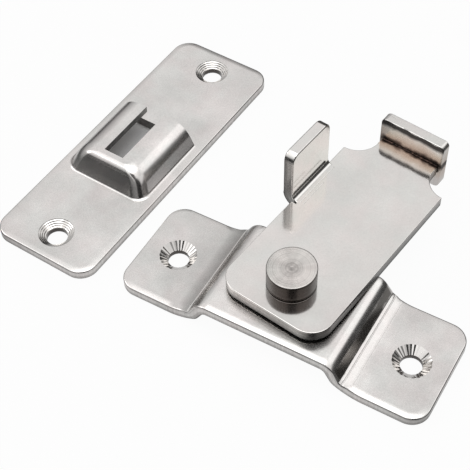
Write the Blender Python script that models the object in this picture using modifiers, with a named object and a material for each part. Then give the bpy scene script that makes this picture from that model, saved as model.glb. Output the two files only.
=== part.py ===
# Barn door flip latch and its keeper, lying side by side with both mounting
# faces on z = 0.  Metres, +Z up, +X along the latch base plate.

import math

import bmesh
import bpy
from mathutils import Matrix

# Sheet stock and finish
SHEET = 0.0030
CORNER_R = 0.0050
EDGE_R = 0.0005
SEAT_GAP = 0.00025

# Screw bores of both plates
BORE_D = 0.0056
SINK_D = 0.0098

# Latch base plate
BASE_LENGTH = 0.0850
BASE_WIDTH = 0.0300
BASE_SCREW_INSET = 0.0095
BRIDGE_LENGTH = 0.0320
BRIDGE_RISE = 0.0063
FOLD_ANGLE = math.radians(60.0)
FOLD_R = 0.0015

# Pivot pin and the washer under the lever
HEAD_D = 0.0125
HEAD_HEIGHT = 0.0055
HEAD_CHAMFER = 0.0003
SHANK_D = 0.0080
TENON_D = 0.0060
TAIL_D = 0.0096
TAIL_HEIGHT = 0.0014
PIVOT_CLEARANCE = 0.0003
WASHER_D = 0.0160
WASHER_THICKNESS = 0.0004

# Swinging lever
LEVER_WIDTH = 0.0302
LEVER_HEEL = 0.0106
LEVER_REACH = 0.0535
LEVER_CORNER_R = 0.0060
NOTCH_R = 0.0065
TONGUE_LENGTH = 0.0020
LEVER_EDGE_R = 0.00025

# Thumb tab folded up on the lever's left edge
TAB_START = 0.0213
TAB_LENGTH = 0.0162
TAB_HEIGHT = 0.0153
TAB_CORNER_R = 0.0020
TAB_FOLD_R = 0.0008
RELIEF_WIDTH = 0.0007
RELIEF_DEPTH = 0.0007

# Hook plate welded across the tongue
HOOK_OVERHANG = 0.0009
HOOK_RISE = 0.0070
HOOK_DROP = 0.0049
HOOK_CORNER_R = 0.0015
WELD_GAP = 0.0003

# Keeper plate
KEEPER_LENGTH = 0.0888
KEEPER_WIDTH = 0.0310
KEEPER_SCREW_INSET = 0.0080

# Drawn hump of the keeper
HUMP_WALL = 0.0020
HUMP_LENGTH = 0.0253
HUMP_WIDTH = 0.0260
HUMP_OPEN_END = 0.0089
HUMP_SLOPE = math.radians(63.0)
HUMP_SIDE_R = 0.0072
HUMP_END_R = 0.0020
HUMP_FOOT_R = 0.0012
HUMP_CORNER_R = 0.0028
HUMP_CLEARANCE = 0.0003
SLOT_SIDE_CLEARANCE = 0.0016
SLOT_END_CLEARANCE = 0.0003
WINDOW_GAP = 0.0009
POCKET_FLARE = 0.0008

# How the two halves and the lever lie
LEVER_ANGLE = math.radians(82.45)
KEEPER_ANGLE = math.radians(86.61)
KEEPER_STANDOFF = 0.0049
KEEPER_SHIFT = 0.0270

# Facets
ARC_STEPS = 8
FOLD_STEPS = 6
TURN_STEPS = 48

# Heights that follow from the sizes above
BRIDGE_TOP = SHEET + BRIDGE_RISE
LEVER_BOTTOM = BRIDGE_TOP + WASHER_THICKNESS + 2 * SEAT_GAP
LEVER_TOP = LEVER_BOTTOM + SHEET
HUMP_TOP = LEVER_BOTTOM - HUMP_CLEARANCE
TONGUE_WIDTH = LEVER_WIDTH - 2 * NOTCH_R
HOOK_WIDTH = TONGUE_WIDTH + 2 * HOOK_OVERHANG

for old in list(bpy.data.objects):
    bpy.data.objects.remove(old, do_unlink=True)


def new_collection(name):
    collection = bpy.data.collections.new(name)
    bpy.context.scene.collection.children.link(collection)
    return collection


LATCH = new_collection("barn_door_latch")
CUTTERS = new_collection("cutters")


def steel(name, color, roughness):
    material = bpy.data.materials.new(name)
    material.use_nodes = True
    shader = material.node_tree.nodes["Principled BSDF"]
    shader.inputs["Base Color"].default_value = (*color, 1.0)
    shader.inputs["Metallic"].default_value = 1.0
    shader.inputs["Roughness"].default_value = roughness
    return material


def make_object(name, mesh, material=None, collection=LATCH):
    item = bpy.data.objects.new(name, mesh)
    collection.objects.link(item)
    if material is not None:
        mesh.materials.append(material)
    return item


def mesh_of(name, bm):
    mesh = bpy.data.meshes.new(name)
    bm.to_mesh(mesh)
    bm.free()
    return mesh


def solid_mesh(name, bm):
    bmesh.ops.recalc_face_normals(bm, faces=bm.faces)
    return mesh_of(name, bm)


def hide_cutter(item, parent):
    item.hide_render = True
    item.display_type = "WIRE"
    item.parent = parent


def combine(item, other, operation):
    modifier = item.modifiers.new(other.name, "BOOLEAN")
    modifier.operation = operation
    modifier.object = other
    modifier.solver = "EXACT"


def arc(center, radius, start, end, steps):
    """Points of an arc, both ends included; angles in radians."""
    return [
        (
            center[0] + radius * math.cos(start + (end - start) * i / steps),
            center[1] + radius * math.sin(start + (end - start) * i / steps),
        )
        for i in range(steps + 1)
    ]


def box(bm, low, high):
    size = [b - a for a, b in zip(low, high)]
    middle = [(a + b) / 2 for a, b in zip(low, high)]
    place = Matrix.Translation(middle) @ Matrix.Diagonal((*size, 1.0))
    bmesh.ops.create_cube(bm, size=1.0, matrix=place)


def loft(bm, loops):
    """Closed skin through loops of equally many points, capped at both ends."""
    rings = [[bm.verts.new(point) for point in loop] for loop in loops]
    count = len(loops[0])
    for low, high in zip(rings, rings[1:]):
        for i in range(count):
            j = (i + 1) % count
            bm.faces.new((low[i], low[j], high[j], high[i]))
    bm.faces.new(reversed(rings[0]))
    bm.faces.new(rings[-1])


def turned(name, profile, material=None, collection=LATCH):
    """Turned piece from an (r, z) profile that runs from its top to its foot."""
    bm = bmesh.new()
    verts = [bm.verts.new((r, 0.0, z)) for r, z in profile]
    for a, b in zip(verts, verts[1:]):
        bm.edges.new((a, b))
    mesh = mesh_of(name, bm)
    item = make_object(name, mesh, material, collection)
    mesh.shade_smooth()
    screw = item.modifiers.new("turn", "SCREW")
    screw.angle = math.tau
    screw.steps = TURN_STEPS
    screw.render_steps = TURN_STEPS
    screw.use_merge_vertices = True
    screw.merge_threshold = 0.00001
    return item


def cut_screw_bore(plate, name, x):
    """Straight screw bore with a cone that widens to the plate's top face."""
    margin = SHEET / 2
    profile = [
        (0.0, SHEET + margin),
        (SINK_D / 2 + margin, SHEET + margin),
        (BORE_D / 2, SHEET - (SINK_D - BORE_D) / 2),
        (BORE_D / 2, -margin),
        (0.0, -margin),
    ]
    cutter = turned(name, profile, collection=CUTTERS)
    cutter.location = (x, 0.0, 0.0)
    hide_cutter(cutter, plate)
    combine(plate, cutter, "DIFFERENCE")


def cut_pivot_hole(plate, name, diameter, low, high):
    """Round hole on the plate's own Z axis, with the pin's running clearance."""
    radius = diameter / 2 + PIVOT_CLEARANCE
    margin = (high - low) / 2
    profile = [(0.0, high + margin), (radius, high + margin), (radius, low - margin), (0.0, low - margin)]
    cutter = turned(name, profile, collection=CUTTERS)
    hide_cutter(cutter, plate)
    combine(plate, cutter, "DIFFERENCE")


def round_edges(item, radius, angle):
    bevel = item.modifiers.new("round_edges", "BEVEL")
    bevel.width = radius
    bevel.segments = 2
    bevel.limit_method = "ANGLE"
    bevel.angle_limit = math.radians(angle)


def thicken(item):
    """Gives a drawn face the sheet's thickness, on the side away from its normals."""
    solidify = item.modifiers.new("sheet", "SOLIDIFY")
    solidify.thickness = SHEET
    solidify.offset = -1.0
    solidify.use_even_offset = True


ROOT = bpy.data.objects.new("latch_set", None)
LATCH.objects.link(ROOT)


def build_base():
    """Hat-shaped latch plate, drawn as its top face from wing to wing."""
    outer = FOLD_R + SHEET
    folds = (FOLD_R + outer) * (1 - math.cos(FOLD_ANGLE))
    slope = (BRIDGE_RISE - folds) / math.sin(FOLD_ANGLE)
    upper = arc(
        (BRIDGE_LENGTH / 2, BRIDGE_TOP - outer), outer, math.pi / 2, math.pi / 2 - FOLD_ANGLE, FOLD_STEPS,
    )
    crease_x = upper[-1][0] + slope * math.cos(FOLD_ANGLE) + FOLD_R * math.sin(FOLD_ANGLE)
    lower = arc(
        (crease_x, SHEET + FOLD_R), FOLD_R, -math.pi / 2 - FOLD_ANGLE, -math.pi / 2, FOLD_STEPS,
    )
    right = upper + lower + [(BASE_LENGTH / 2, SHEET)]
    path = [(-x, z) for x, z in reversed(right)] + right
    bm = bmesh.new()
    near, far = [
        [bm.verts.new((x, side * BASE_WIDTH / 2, z)) for x, z in path] for side in (-1, 1)
    ]
    for i in range(len(path) - 1):
        bm.faces.new((near[i], near[i + 1], far[i + 1], far[i]))
    bmesh.ops.bevel(
        bm,
        geom=[near[0], near[-1], far[0], far[-1]],
        offset=CORNER_R,
        segments=ARC_STEPS,
        profile=0.5,
        affect="VERTICES",
    )
    base = make_object("base_plate", mesh_of("base_plate", bm), steel("plate_steel", (0.62, 0.61, 0.59), 0.30))
    base.parent = ROOT
    thicken(base)
    round_edges(base, EDGE_R, 60)
    reach = BASE_LENGTH / 2 - BASE_SCREW_INSET
    cut_screw_bore(base, "base_bore_left", -reach)
    cut_screw_bore(base, "base_bore_right", reach)
    cut_pivot_hole(base, "base_tenon_hole", TENON_D, BRIDGE_RISE, BRIDGE_TOP)


def build_lever(pivot):
    """Flat lever with its thumb tab, drawn as the sheet's upper and inner face."""
    side = LEVER_WIDTH / 2
    end = LEVER_REACH - WELD_GAP
    neck = end - TONGUE_LENGTH
    heel = LEVER_CORNER_R - LEVER_HEEL
    tab_end = TAB_START + TAB_LENGTH
    fold = side - RELIEF_DEPTH
    corner = side - LEVER_CORNER_R
    outline = arc((heel, -corner), LEVER_CORNER_R, math.pi, 1.5 * math.pi, ARC_STEPS)
    outline += arc((neck, -side), NOTCH_R, math.pi, math.pi / 2, ARC_STEPS)
    outline += [(end, -TONGUE_WIDTH / 2), (end, TONGUE_WIDTH / 2)]
    outline += arc((neck, side), NOTCH_R, -math.pi / 2, -math.pi, ARC_STEPS)
    outline += [(tab_end + RELIEF_WIDTH, side), (tab_end + RELIEF_WIDTH, fold)]
    hinge_at = len(outline)
    outline += [(tab_end, fold), (TAB_START, fold)]
    outline += [(TAB_START - RELIEF_WIDTH, fold), (TAB_START - RELIEF_WIDTH, side)]
    outline += arc((heel, corner), LEVER_CORNER_R, math.pi / 2, math.pi, ARC_STEPS)
    bm = bmesh.new()
    flat = [bm.verts.new((x, y, SHEET)) for x, y in outline]
    bm.faces.new(flat)
    high, low = flat[hinge_at], flat[hinge_at + 1]
    bend = arc((fold, SHEET + TAB_FOLD_R), TAB_FOLD_R, -math.pi / 2, 0.0, FOLD_STEPS)
    for y, z in bend[1:]:
        next_low = bm.verts.new((TAB_START, y, z))
        next_high = bm.verts.new((tab_end, y, z))
        bm.faces.new((low, high, next_high, next_low))
        low, high = next_low, next_high
    crown_z = SHEET + TAB_HEIGHT - TAB_CORNER_R
    crown = arc((tab_end - TAB_CORNER_R, crown_z), TAB_CORNER_R, 0.0, math.pi / 2, ARC_STEPS)
    crown += arc((TAB_START + TAB_CORNER_R, crown_z), TAB_CORNER_R, math.pi / 2, math.pi, ARC_STEPS)
    face_y = fold + TAB_FOLD_R
    bm.faces.new([low, high] + [bm.verts.new((x, face_y, z)) for x, z in crown])
    lever = make_object("swing_lever", mesh_of("swing_lever", bm), steel("lever_steel", (0.66, 0.65, 0.63), 0.20))
    lever.parent = pivot
    thicken(lever)
    round_edges(lever, LEVER_EDGE_R, 60)
    cut_pivot_hole(lever, "lever_shank_hole", SHANK_D, 0.0, SHEET)


def build_hook(pivot):
    """Rounded plate that stands across the tongue's end, above and below the lever."""
    bm = bmesh.new()
    height = HOOK_DROP + SHEET + HOOK_RISE
    place = Matrix.Diagonal((SHEET, HOOK_WIDTH, height, 1.0))
    bmesh.ops.create_cube(bm, size=1.0, matrix=place)
    across = [e for e in bm.edges if abs(e.verts[0].co.x - e.verts[1].co.x) > SHEET / 2]
    bmesh.ops.bevel(bm, geom=across, offset=HOOK_CORNER_R, segments=ARC_STEPS, profile=0.5, affect="EDGES")
    hook = make_object("hook_plate", solid_mesh("hook_plate", bm), steel("hook_steel", (0.55, 0.50, 0.45), 0.28))
    hook.parent = pivot
    hook.location = (LEVER_REACH + SHEET / 2, 0.0, height / 2 - HOOK_DROP)
    round_edges(hook, LEVER_EDGE_R, 60)


def build_pin():
    """Stepped rivet: head on the lever, shank on the bridge, tail peened under it."""
    head = HEAD_D / 2
    shank = SHANK_D / 2
    tenon = TENON_D / 2
    tail = TAIL_D / 2
    head_z = LEVER_TOP + SEAT_GAP
    top_z = head_z + HEAD_HEIGHT
    tail_z = BRIDGE_RISE - SEAT_GAP
    dome = arc((0.0, 0.0), 1.0, 0.0, math.pi / 2, ARC_STEPS)[:-1] + [(0.0, 1.0)]
    profile = [(0.0, top_z), (head - HEAD_CHAMFER, top_z), (head, top_z - HEAD_CHAMFER)]
    profile += [(head, head_z), (shank, head_z)]
    profile += [(shank, BRIDGE_TOP + SEAT_GAP), (tenon, BRIDGE_TOP + SEAT_GAP), (tenon, tail_z)]
    profile += [(tail * r, tail_z - TAIL_HEIGHT * z) for r, z in dome]
    pin = turned("pivot_pin", profile, steel("pin_steel", (0.50, 0.48, 0.46), 0.25))
    pin.parent = ROOT


def build_washer():
    inner = SHANK_D / 2 + PIVOT_CLEARANCE
    outer = WASHER_D / 2
    low = BRIDGE_TOP + SEAT_GAP
    high = low + WASHER_THICKNESS
    profile = [(inner, high), (outer, high), (outer, low), (inner, low), (inner, high)]
    washer = turned("spacer_washer", profile, steel("washer_steel", (0.45, 0.44, 0.43), 0.35))
    washer.parent = ROOT


def half_span(z, foot, top, radius):
    """Half width at height z of an arch of that radius standing on straight slopes."""
    lean = math.tan(HUMP_SLOPE)
    bend_z = top - radius * (1 - math.cos(HUMP_SLOPE))
    if z <= bend_z:
        return foot - (z - SHEET) / lean
    spring = foot - (bend_z - SHEET) / lean - radius * math.sin(HUMP_SLOPE)
    rise = min(1.0, (z - top + radius) / radius)
    return spring + radius * math.sqrt(1 - rise * rise)


def hump_loop(z, open_x, closed_x, half, corner):
    """Outline at one height: square at the open end, rounded at the closed one."""
    points = [(open_x, half)]
    points += arc((closed_x + corner, half - corner), corner, math.pi / 2, math.pi, ARC_STEPS)
    points += arc((closed_x + corner, corner - half), corner, math.pi, 1.5 * math.pi, ARC_STEPS)
    points += [(open_x, -half)]
    return [(x, y, z) for x, y in points]


def hump_skin(sunk, top, side_r, end_r, open_x, feet):
    """Solid under one skin of the hump; feet are (spread, z) pairs below its slopes."""
    foot = HUMP_WIDTH / 2 - sunk
    closed_x = HUMP_OPEN_END - HUMP_LENGTH + sunk
    loops = []
    for spread, z in feet:
        corner = HUMP_CORNER_R + max(spread, 0.0)
        loops.append(hump_loop(z, open_x, closed_x - spread, foot + spread, corner))
    levels = set()
    for radius in (side_r, end_r):
        for i in range(ARC_STEPS + 1):
            drop = radius * (1 - math.cos(HUMP_SLOPE * i / ARC_STEPS))
            levels.add(round(top - drop, 5))
    for z in sorted(levels):
        half = half_span(z, foot, top, side_r)
        inset = foot - half_span(z, foot, top, end_r)
        loops.append(hump_loop(z, open_x, closed_x + inset, half, HUMP_CORNER_R))
    bm = bmesh.new()
    loft(bm, loops)
    return bm


def build_keeper():
    """Flat plate with a hump drawn out of it, slotted on top and open at one end."""
    bm = bmesh.new()
    box(bm, (-KEEPER_LENGTH / 2, -KEEPER_WIDTH / 2, 0.0), (KEEPER_LENGTH / 2, KEEPER_WIDTH / 2, SHEET))
    upright = [e for e in bm.edges if abs(e.verts[0].co.z - e.verts[1].co.z) > SHEET / 2]
    bmesh.ops.bevel(bm, geom=upright, offset=CORNER_R, segments=ARC_STEPS, profile=0.5, affect="EDGES")
    steel_look = steel("keeper_steel", (0.62, 0.61, 0.59), 0.30)
    keeper = make_object("keeper_plate", solid_mesh("keeper_plate", bm), steel_look)
    keeper.parent = ROOT
    keeper.location = (-(BASE_LENGTH + KEEPER_WIDTH) / 2 - KEEPER_STANDOFF, KEEPER_SHIFT, 0.0)
    keeper.rotation_euler = (0.0, 0.0, KEEPER_ANGLE)
    round_edges(keeper, EDGE_R, 60)

    lean = math.tan(HUMP_SLOPE)
    reach = HUMP_FOOT_R * math.tan(HUMP_SLOPE / 2)
    blend = arc((reach, SHEET + HUMP_FOOT_R), HUMP_FOOT_R, -math.pi / 2, -math.pi / 2 - HUMP_SLOPE, ARC_STEPS)
    feet = [(reach, SHEET / 2)] + blend[1:]
    bm = hump_skin(0.0, HUMP_TOP, HUMP_SIDE_R, HUMP_END_R, HUMP_OPEN_END, feet)
    hump = make_object("keeper_hump", solid_mesh("keeper_hump", bm), steel_look, CUTTERS)
    hide_cutter(hump, keeper)
    combine(keeper, hump, "UNION")

    drop = SHEET / lean
    feet = [(drop + POCKET_FLARE, -SHEET), (drop + POCKET_FLARE, 0.0)]
    feet.append((drop - POCKET_FLARE / lean, POCKET_FLARE))
    side_r = HUMP_SIDE_R - HUMP_WALL
    end_r = max(HUMP_END_R - HUMP_WALL, EDGE_R)
    sunk = HUMP_WALL / math.sin(HUMP_SLOPE)
    bm = hump_skin(sunk, HUMP_TOP - HUMP_WALL, side_r, end_r, HUMP_OPEN_END + WINDOW_GAP, feet)
    pocket = make_object("keeper_pocket", solid_mesh("keeper_pocket", bm), None, CUTTERS)
    hide_cutter(pocket, keeper)
    combine(keeper, pocket, "DIFFERENCE")

    slot_end = HUMP_OPEN_END - HOOK_WIDTH - SLOT_END_CLEARANCE
    slot_half = SHEET / 2 + SLOT_SIDE_CLEARANCE
    bm = bmesh.new()
    box(
        bm,
        (slot_end, -slot_half, HUMP_TOP - 2 * HUMP_WALL),
        (HUMP_OPEN_END + HUMP_WALL, slot_half, HUMP_TOP + HUMP_WALL),
    )
    slot = make_object("keeper_slot", solid_mesh("keeper_slot", bm), None, CUTTERS)
    hide_cutter(slot, keeper)
    combine(keeper, slot, "DIFFERENCE")

    reach = KEEPER_LENGTH / 2 - KEEPER_SCREW_INSET
    cut_screw_bore(keeper, "keeper_bore_near", -reach)
    cut_screw_bore(keeper, "keeper_bore_far", reach)


def center_set():
    """Moves the set so that the origin is the middle of its footprint."""
    bpy.context.view_layer.update()
    graph = bpy.context.evaluated_depsgraph_get()
    corners = []
    for item in LATCH.objects:
        if item.type == "MESH":
            shown = item.evaluated_get(graph)
            corners += [item.matrix_world @ v.co for v in shown.data.vertices]
    ROOT.location.x = -(min(p.x for p in corners) + max(p.x for p in corners)) / 2
    ROOT.location.y = -(min(p.y for p in corners) + max(p.y for p in corners)) / 2


PIVOT = bpy.data.objects.new("lever_pivot", None)
LATCH.objects.link(PIVOT)
PIVOT.parent = ROOT
PIVOT.location = (0.0, 0.0, LEVER_BOTTOM)
PIVOT.rotation_euler = (0.0, 0.0, LEVER_ANGLE)

build_base()
build_lever(PIVOT)
build_hook(PIVOT)
build_pin()
build_washer()
build_keeper()
center_set()
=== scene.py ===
# %% [markdown]
# # A stainless flip latch for a barn door
# The latch is two pressings of 3 mm sheet: a folded base plate that carries a
# swinging lever, and a flat keeper plate with a hump drawn out of it.  The
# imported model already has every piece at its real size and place.  This lesson
# builds the finer surfaces over it: rolled rims, folds, machined countersinks,
# a weld, turning marks, and the steels themselves.

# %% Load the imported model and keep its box
import math

import bmesh
import bpy
from mathutils import Matrix, Vector


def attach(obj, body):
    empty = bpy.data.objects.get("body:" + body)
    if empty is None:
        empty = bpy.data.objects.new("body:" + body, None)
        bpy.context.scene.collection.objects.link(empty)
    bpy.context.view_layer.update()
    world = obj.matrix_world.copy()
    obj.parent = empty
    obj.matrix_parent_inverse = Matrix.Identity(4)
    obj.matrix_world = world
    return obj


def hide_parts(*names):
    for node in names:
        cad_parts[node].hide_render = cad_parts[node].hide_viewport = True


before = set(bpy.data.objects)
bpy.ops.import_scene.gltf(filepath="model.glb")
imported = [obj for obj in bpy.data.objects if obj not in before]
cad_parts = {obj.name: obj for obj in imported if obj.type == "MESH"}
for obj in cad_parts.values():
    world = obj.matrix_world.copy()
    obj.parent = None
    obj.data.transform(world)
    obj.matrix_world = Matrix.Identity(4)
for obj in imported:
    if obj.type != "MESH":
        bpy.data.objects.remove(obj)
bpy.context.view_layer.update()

# %% [markdown]
# ## The camera
# The camera stands where the picture was taken from: a little to the right of
# the latch, well in front of it and looking down at about fifty degrees.  Its
# three directions are written out as a rotation matrix, which is the surest way
# to repeat a measured view.  The picture is square, so one lens value is enough.
# The Standard view transform shows each colour as it is written.

# %% Camera
CAMERA_PLACE = Vector((0.09492, -0.17629, 0.23736))
CAMERA_RIGHT = Vector((0.86469, 0.50193, -0.01929))
CAMERA_UP = Vector((-0.37936, 0.67776, 0.62986))
LENS_MM = 88.29
SENSOR_MM = 36.0

camera_data = bpy.data.cameras.new("picture_camera")
camera_data.sensor_width = SENSOR_MM
camera_data.lens = LENS_MM
camera_data.clip_start = 0.01
camera = bpy.data.objects.new("picture_camera", camera_data)
bpy.context.scene.collection.objects.link(camera)
camera_back = CAMERA_RIGHT.cross(CAMERA_UP)
camera_turn = Matrix((CAMERA_RIGHT, CAMERA_UP, camera_back)).transposed()
camera.matrix_world = Matrix.Translation(CAMERA_PLACE) @ camera_turn.to_4x4()
bpy.context.scene.camera = camera
bpy.context.scene.view_settings.view_transform = "Standard"
print("camera is", round(CAMERA_PLACE.length * 1000), "mm from the middle of the set")

# %% [markdown]
# ## Helpers for modelling by operator
# Everything below is made as it would be by hand: add a primitive, pick some
# of its faces, edges or corners, and extrude, inset, bevel or spin them.  A
# script picks by place, where a person would click.

# %% Pick and edit helpers
UP = Vector((0, 0, 1))
TINY = 1e-6


def only(item):
    """Makes one object the selected and active one."""
    bpy.ops.object.select_all(action="DESELECT")
    item.select_set(True)
    bpy.context.view_layer.objects.active = item


def edit(item):
    only(item)
    bpy.ops.object.mode_set(mode="EDIT")


def leave():
    bpy.ops.object.mode_set(mode="OBJECT")


def middle(element):
    """The middle of a vertex, an edge or a face."""
    if isinstance(element, bmesh.types.BMVert):
        return element.co
    if isinstance(element, bmesh.types.BMEdge):
        return (element.verts[0].co + element.verts[1].co) / 2
    return element.calc_center_median()


def pick(kind, test):
    """Selects the vertices, edges or faces that pass the test, in edit mode."""
    bpy.ops.mesh.select_mode(type=kind)
    bpy.ops.mesh.select_all(action="DESELECT")
    mesh = bpy.context.object.data
    bm = bmesh.from_edit_mesh(mesh)
    bm.normal_update()
    elements = {"VERT": bm.verts, "EDGE": bm.edges, "FACE": bm.faces}[kind]
    found = [element for element in elements if test(element)]
    for element in found:
        element.select_set(True)
    bmesh.update_edit_mesh(mesh)
    return len(found)


def pick_all():
    bpy.ops.mesh.select_all(action="SELECT")


def push(vector):
    bpy.ops.transform.translate(value=vector)


def extrude(vector):
    bpy.ops.mesh.extrude_region_move(TRANSFORM_OT_translate={"value": vector})


def widen(value, center):
    """Stretches what is selected about a place."""
    bpy.ops.transform.resize(value=value, center_override=center)


def bevel(width, segments, affect="EDGES"):
    bpy.ops.mesh.bevel(
        offset=width, segments=segments, profile=0.5, affect=affect, clamp_overlap=False
    )


def split(place, normal):
    """Cuts every face along a plane, which adds one line of edges."""
    pick_all()
    bpy.ops.mesh.bisect(plane_co=place, plane_no=normal)


def corner_angle(edge):
    """Angle between an edge's two faces, in degrees; 0 where it is flat."""
    return math.degrees(edge.calc_face_angle(0.0))


# %% [markdown]
# A finished piece is shaded smooth wherever its faces meet at a shallow angle.
# Weighted normals then let the big flat faces win, so that a flat plate stays
# flat right up to its rolled rim.  Its place goes into the mesh at the end.

# %% Finish, cut and place helpers
SHARP_ANGLE = math.radians(32)
BREAK_ANGLE = math.radians(40)


def apply_modifier(item, modifier):
    only(item)
    bpy.ops.object.modifier_apply(modifier=modifier.name)


def combine(item, other, operation="DIFFERENCE"):
    """Cuts another piece away, or adds it; the other piece is used up."""
    modifier = item.modifiers.new("join", "BOOLEAN")
    modifier.operation = operation
    modifier.object = other
    modifier.solver = "EXACT"
    apply_modifier(item, modifier)
    bpy.data.objects.remove(other)


def break_edges(item, width):
    """Takes the sharpness off every steep edge."""
    modifier = item.modifiers.new("edges", "BEVEL")
    modifier.width = width
    modifier.segments = 2
    modifier.limit_method = "ANGLE"
    modifier.angle_limit = BREAK_ANGLE
    modifier.use_clamp_overlap = True
    apply_modifier(item, modifier)


def smooth(item, keep_flat=None):
    """Shades smooth by angle; faces that pass the test stay flat."""
    only(item)
    bpy.ops.object.shade_smooth_by_angle(angle=SHARP_ANGLE)
    if keep_flat:
        edit(item)
        found = pick("FACE", keep_flat)
        bpy.ops.mesh.faces_shade_flat()
        leave()
        print(item.name, "keeps", found, "flat facets")
    modifier = item.modifiers.new("normals", "WEIGHTED_NORMAL")
    modifier.keep_sharp = True
    apply_modifier(item, modifier)


def place(item, location, turn=0.0):
    """Moves a finished piece to its place and writes that place into its mesh."""
    item.location = location
    item.rotation_euler = (0, 0, turn)
    only(item)
    bpy.ops.object.transform_apply(location=True, rotation=True, scale=True)


def report(item):
    bm = bmesh.new()
    bm.from_mesh(item.data)
    open_edges = sum(not edge.is_manifold for edge in bm.edges)
    print(item.name, "has", len(bm.faces), "faces,", open_edges, "open edges, volume",
          round(bm.calc_volume() * 1e9), "mm3")
    bm.free()


# %% [markdown]
# Three primitives are enough: a block, a flat sheet without thickness, and a
# cylinder.  Each is added at its size and place, with nothing else selected.

# %% Primitives
def keep_scale(item, name):
    item.name = name
    bpy.ops.object.transform_apply(location=True, rotation=False, scale=True)
    return item


def add_block(name, low, high):
    """A cube primitive stretched between two corners."""
    size = [b - a for a, b in zip(low, high)]
    center = [(a + b) / 2 for a, b in zip(low, high)]
    bpy.ops.object.select_all(action="DESELECT")
    bpy.ops.mesh.primitive_cube_add(size=1, location=center, scale=size)
    return keep_scale(bpy.context.object, name)


def add_sheet(name, low_x, high_x, half, z):
    """A plane primitive between two values of x, at one height."""
    bpy.ops.object.select_all(action="DESELECT")
    bpy.ops.mesh.primitive_plane_add(size=1, location=((low_x + high_x) / 2, 0, z))
    bpy.context.object.scale = (high_x - low_x, 2 * half, 1)
    return keep_scale(bpy.context.object, name)


def add_cylinder(name, radius, depth, location, vertices=64):
    bpy.ops.object.select_all(action="DESELECT")
    bpy.ops.mesh.primitive_cylinder_add(
        vertices=vertices, radius=radius, depth=depth, location=location
    )
    return keep_scale(bpy.context.object, name)


# %% [markdown]
# ## Where everything lies
# The base plate lies along X with the pivot pin at its middle.  The lever and
# the keeper are turned a little from the Y axis, as they lie in the picture.

# %% Places and shared sizes
SHEET = 0.0030
PIVOT = Vector((0.019101, -0.027, 0.0))
LEVER_TURN = math.radians(82.45)
LEVER_PLACE = PIVOT + 0.0102 * UP
KEEPER_PLACE = Vector((-0.043799, 0.0, 0.0))
KEEPER_TURN = math.radians(86.61)
BORE_R = 0.0028
SINK_R = 0.0049
CORNER_R = 0.0050
RIM_R = 0.00045
ROLL_WIDTH = 0.0015
ROLL_DROP = 0.00008
THROUGH = 0.02
NEAR = 0.0002

# %% [markdown]
# ## Marks for the paint
# The punch leaves the cut sides of a sheet different from its faces: smooth at
# the top, torn below.  To paint that later, the corners of every cut face store
# how far they lie from the sheet's upper face, in an attribute called depth.  An
# attribute can sit on points, edges, faces or face corners; corners are right
# here, because a value must not leak from a cut side into the broad face that
# shares its points.  Other attributes simply mark faces with a one.

# %% Depth and marks
def write_corners(item, label, value_at, wanted):
    """Stores a value on each corner of the wanted faces, and zero elsewhere."""
    mesh = item.data
    values = [0.0] * len(mesh.loops)
    faces = [face for face in mesh.polygons if wanted(face)]
    for face in faces:
        for corner in face.loop_indices:
            values[corner] = value_at(mesh.vertices[mesh.loops[corner].vertex_index].co)
    attribute = mesh.attributes.new(label, "FLOAT", "CORNER")
    attribute.data.foreach_set("value", values)
    print(item.name, "stores", label, "on", len(faces), "faces, up to", round(max(values), 4))


def arc(start, across, rise, angle, steps):
    """Points of an arc that leaves its start level and leans over to an angle."""
    leans = [angle * i / steps for i in range(steps + 1)]
    return [
        start + Vector((across * math.sin(lean), rise * (1 - math.cos(lean)))) for lean in leans
    ]


def profile_depth(point, profile):
    """Shortest distance from a point to a line of points."""
    nearest = 1.0
    for start, end in zip(profile, profile[1:]):
        along = end - start
        share = max(0.0, min(1.0, (point - start).dot(along) / along.length_squared))
        nearest = min(nearest, (point - start - share * along).length)
    return nearest


def from_screw(point, screw):
    """Distance of a point from the nearer of two screw axes on the X axis."""
    return math.hypot(abs(point.x) - screw, point.y)


def mark_holes(item, screw):
    """Marks the cones and the straight walls of both screw holes."""
    for label, low, high in (("machined", 0.3, 0.95), ("bored", -0.3, 0.3)):
        write_corners(
            item, label, lambda co: 1.0,
            lambda f: from_screw(f.center, screw) < SINK_R and low < f.normal.z <= high,
        )


# %% [markdown]
# ## Screw holes
# A countersink is cut with a cone.  On the base plate the tool chattered and
# left the cone in narrow facets, which glint one by one.  On the keeper it left
# rings instead.  Both tools are a cylinder whose upper end is opened out.

# %% Countersink tools
CHATTER_SIDES = 60
CHATTER_DEPTH = 0.975
RING_STEPS = 4.4
RING_SLOPES = ((0.30, 0.65), (0.70, 0.35))
SINK_DEPTH = 0.0017
SINK_SPREAD = SINK_R - BORE_R


def chatter_tool(x):
    """Cone of narrow facets above a round bore."""
    bpy.ops.object.select_all(action="DESELECT")
    bpy.ops.mesh.primitive_cone_add(
        vertices=CHATTER_SIDES,
        radius1=BORE_R,
        radius2=SINK_R + SINK_SPREAD * SHEET / 2 / SINK_DEPTH,
        depth=SINK_DEPTH + SHEET / 2,
        location=(x, 0, SHEET - SINK_DEPTH / 2 + SHEET / 4),
    )
    tool = keep_scale(bpy.context.object, "chatter_tool")
    edit(tool)
    part = 2 * math.pi / CHATTER_SIDES
    pick("VERT", lambda v: round(math.atan2(v.co.y, v.co.x - x) / part - 0.25) % 3 == 0)
    widen((CHATTER_DEPTH, CHATTER_DEPTH, 1), (x, 0, 0))
    leave()
    return tool


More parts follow.
